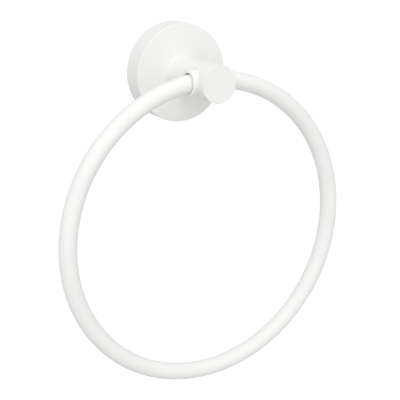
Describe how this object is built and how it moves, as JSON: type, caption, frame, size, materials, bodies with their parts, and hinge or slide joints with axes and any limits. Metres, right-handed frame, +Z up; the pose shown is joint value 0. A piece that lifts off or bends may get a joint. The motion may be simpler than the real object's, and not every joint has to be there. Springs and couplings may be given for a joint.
{
  "type": "towel ring",
  "caption": "Wall-mounted towel ring: a loose round tube ring hangs in a bushed round post on a round rosette, fixed over a slotted wall plate.",
  "frame": {"origin": "point of the wall on the post's axis", "axes": "+Y into the wall, so the post stands out along -Y; +Z up; +X to the right seen from the room"},
  "size_m": [0.1756, 0.053, 0.1975],
  "materials": {
    "white_coat": "matt white powder coat",
    "white_nylon": "moulded white nylon",
    "zinc_plated_steel": "bright zinc plating",
    "cast_zinc": "dull bare casting"
  },
  "bodies": {
    "bracket": {"post": "white_coat", "ring_bush": "white_nylon", "rosette": "white_coat", "post_screw": "zinc_plated_steel", "lock_washer": "zinc_plated_steel", "wall_plate": "cast_zinc", "grub_screw": "zinc_plated_steel"},
    "ring": {"ring": "white_coat", "ring_joining_plug": "zinc_plated_steel"}
  },
  "joints": [
    {"name": "ring_swing", "type": "hinge", "parent": "bracket", "child": "ring", "pos_m": [0, -0.0408, 0], "axis": [-1, 0, 0], "range_deg": [-12, 192]}
  ]
}
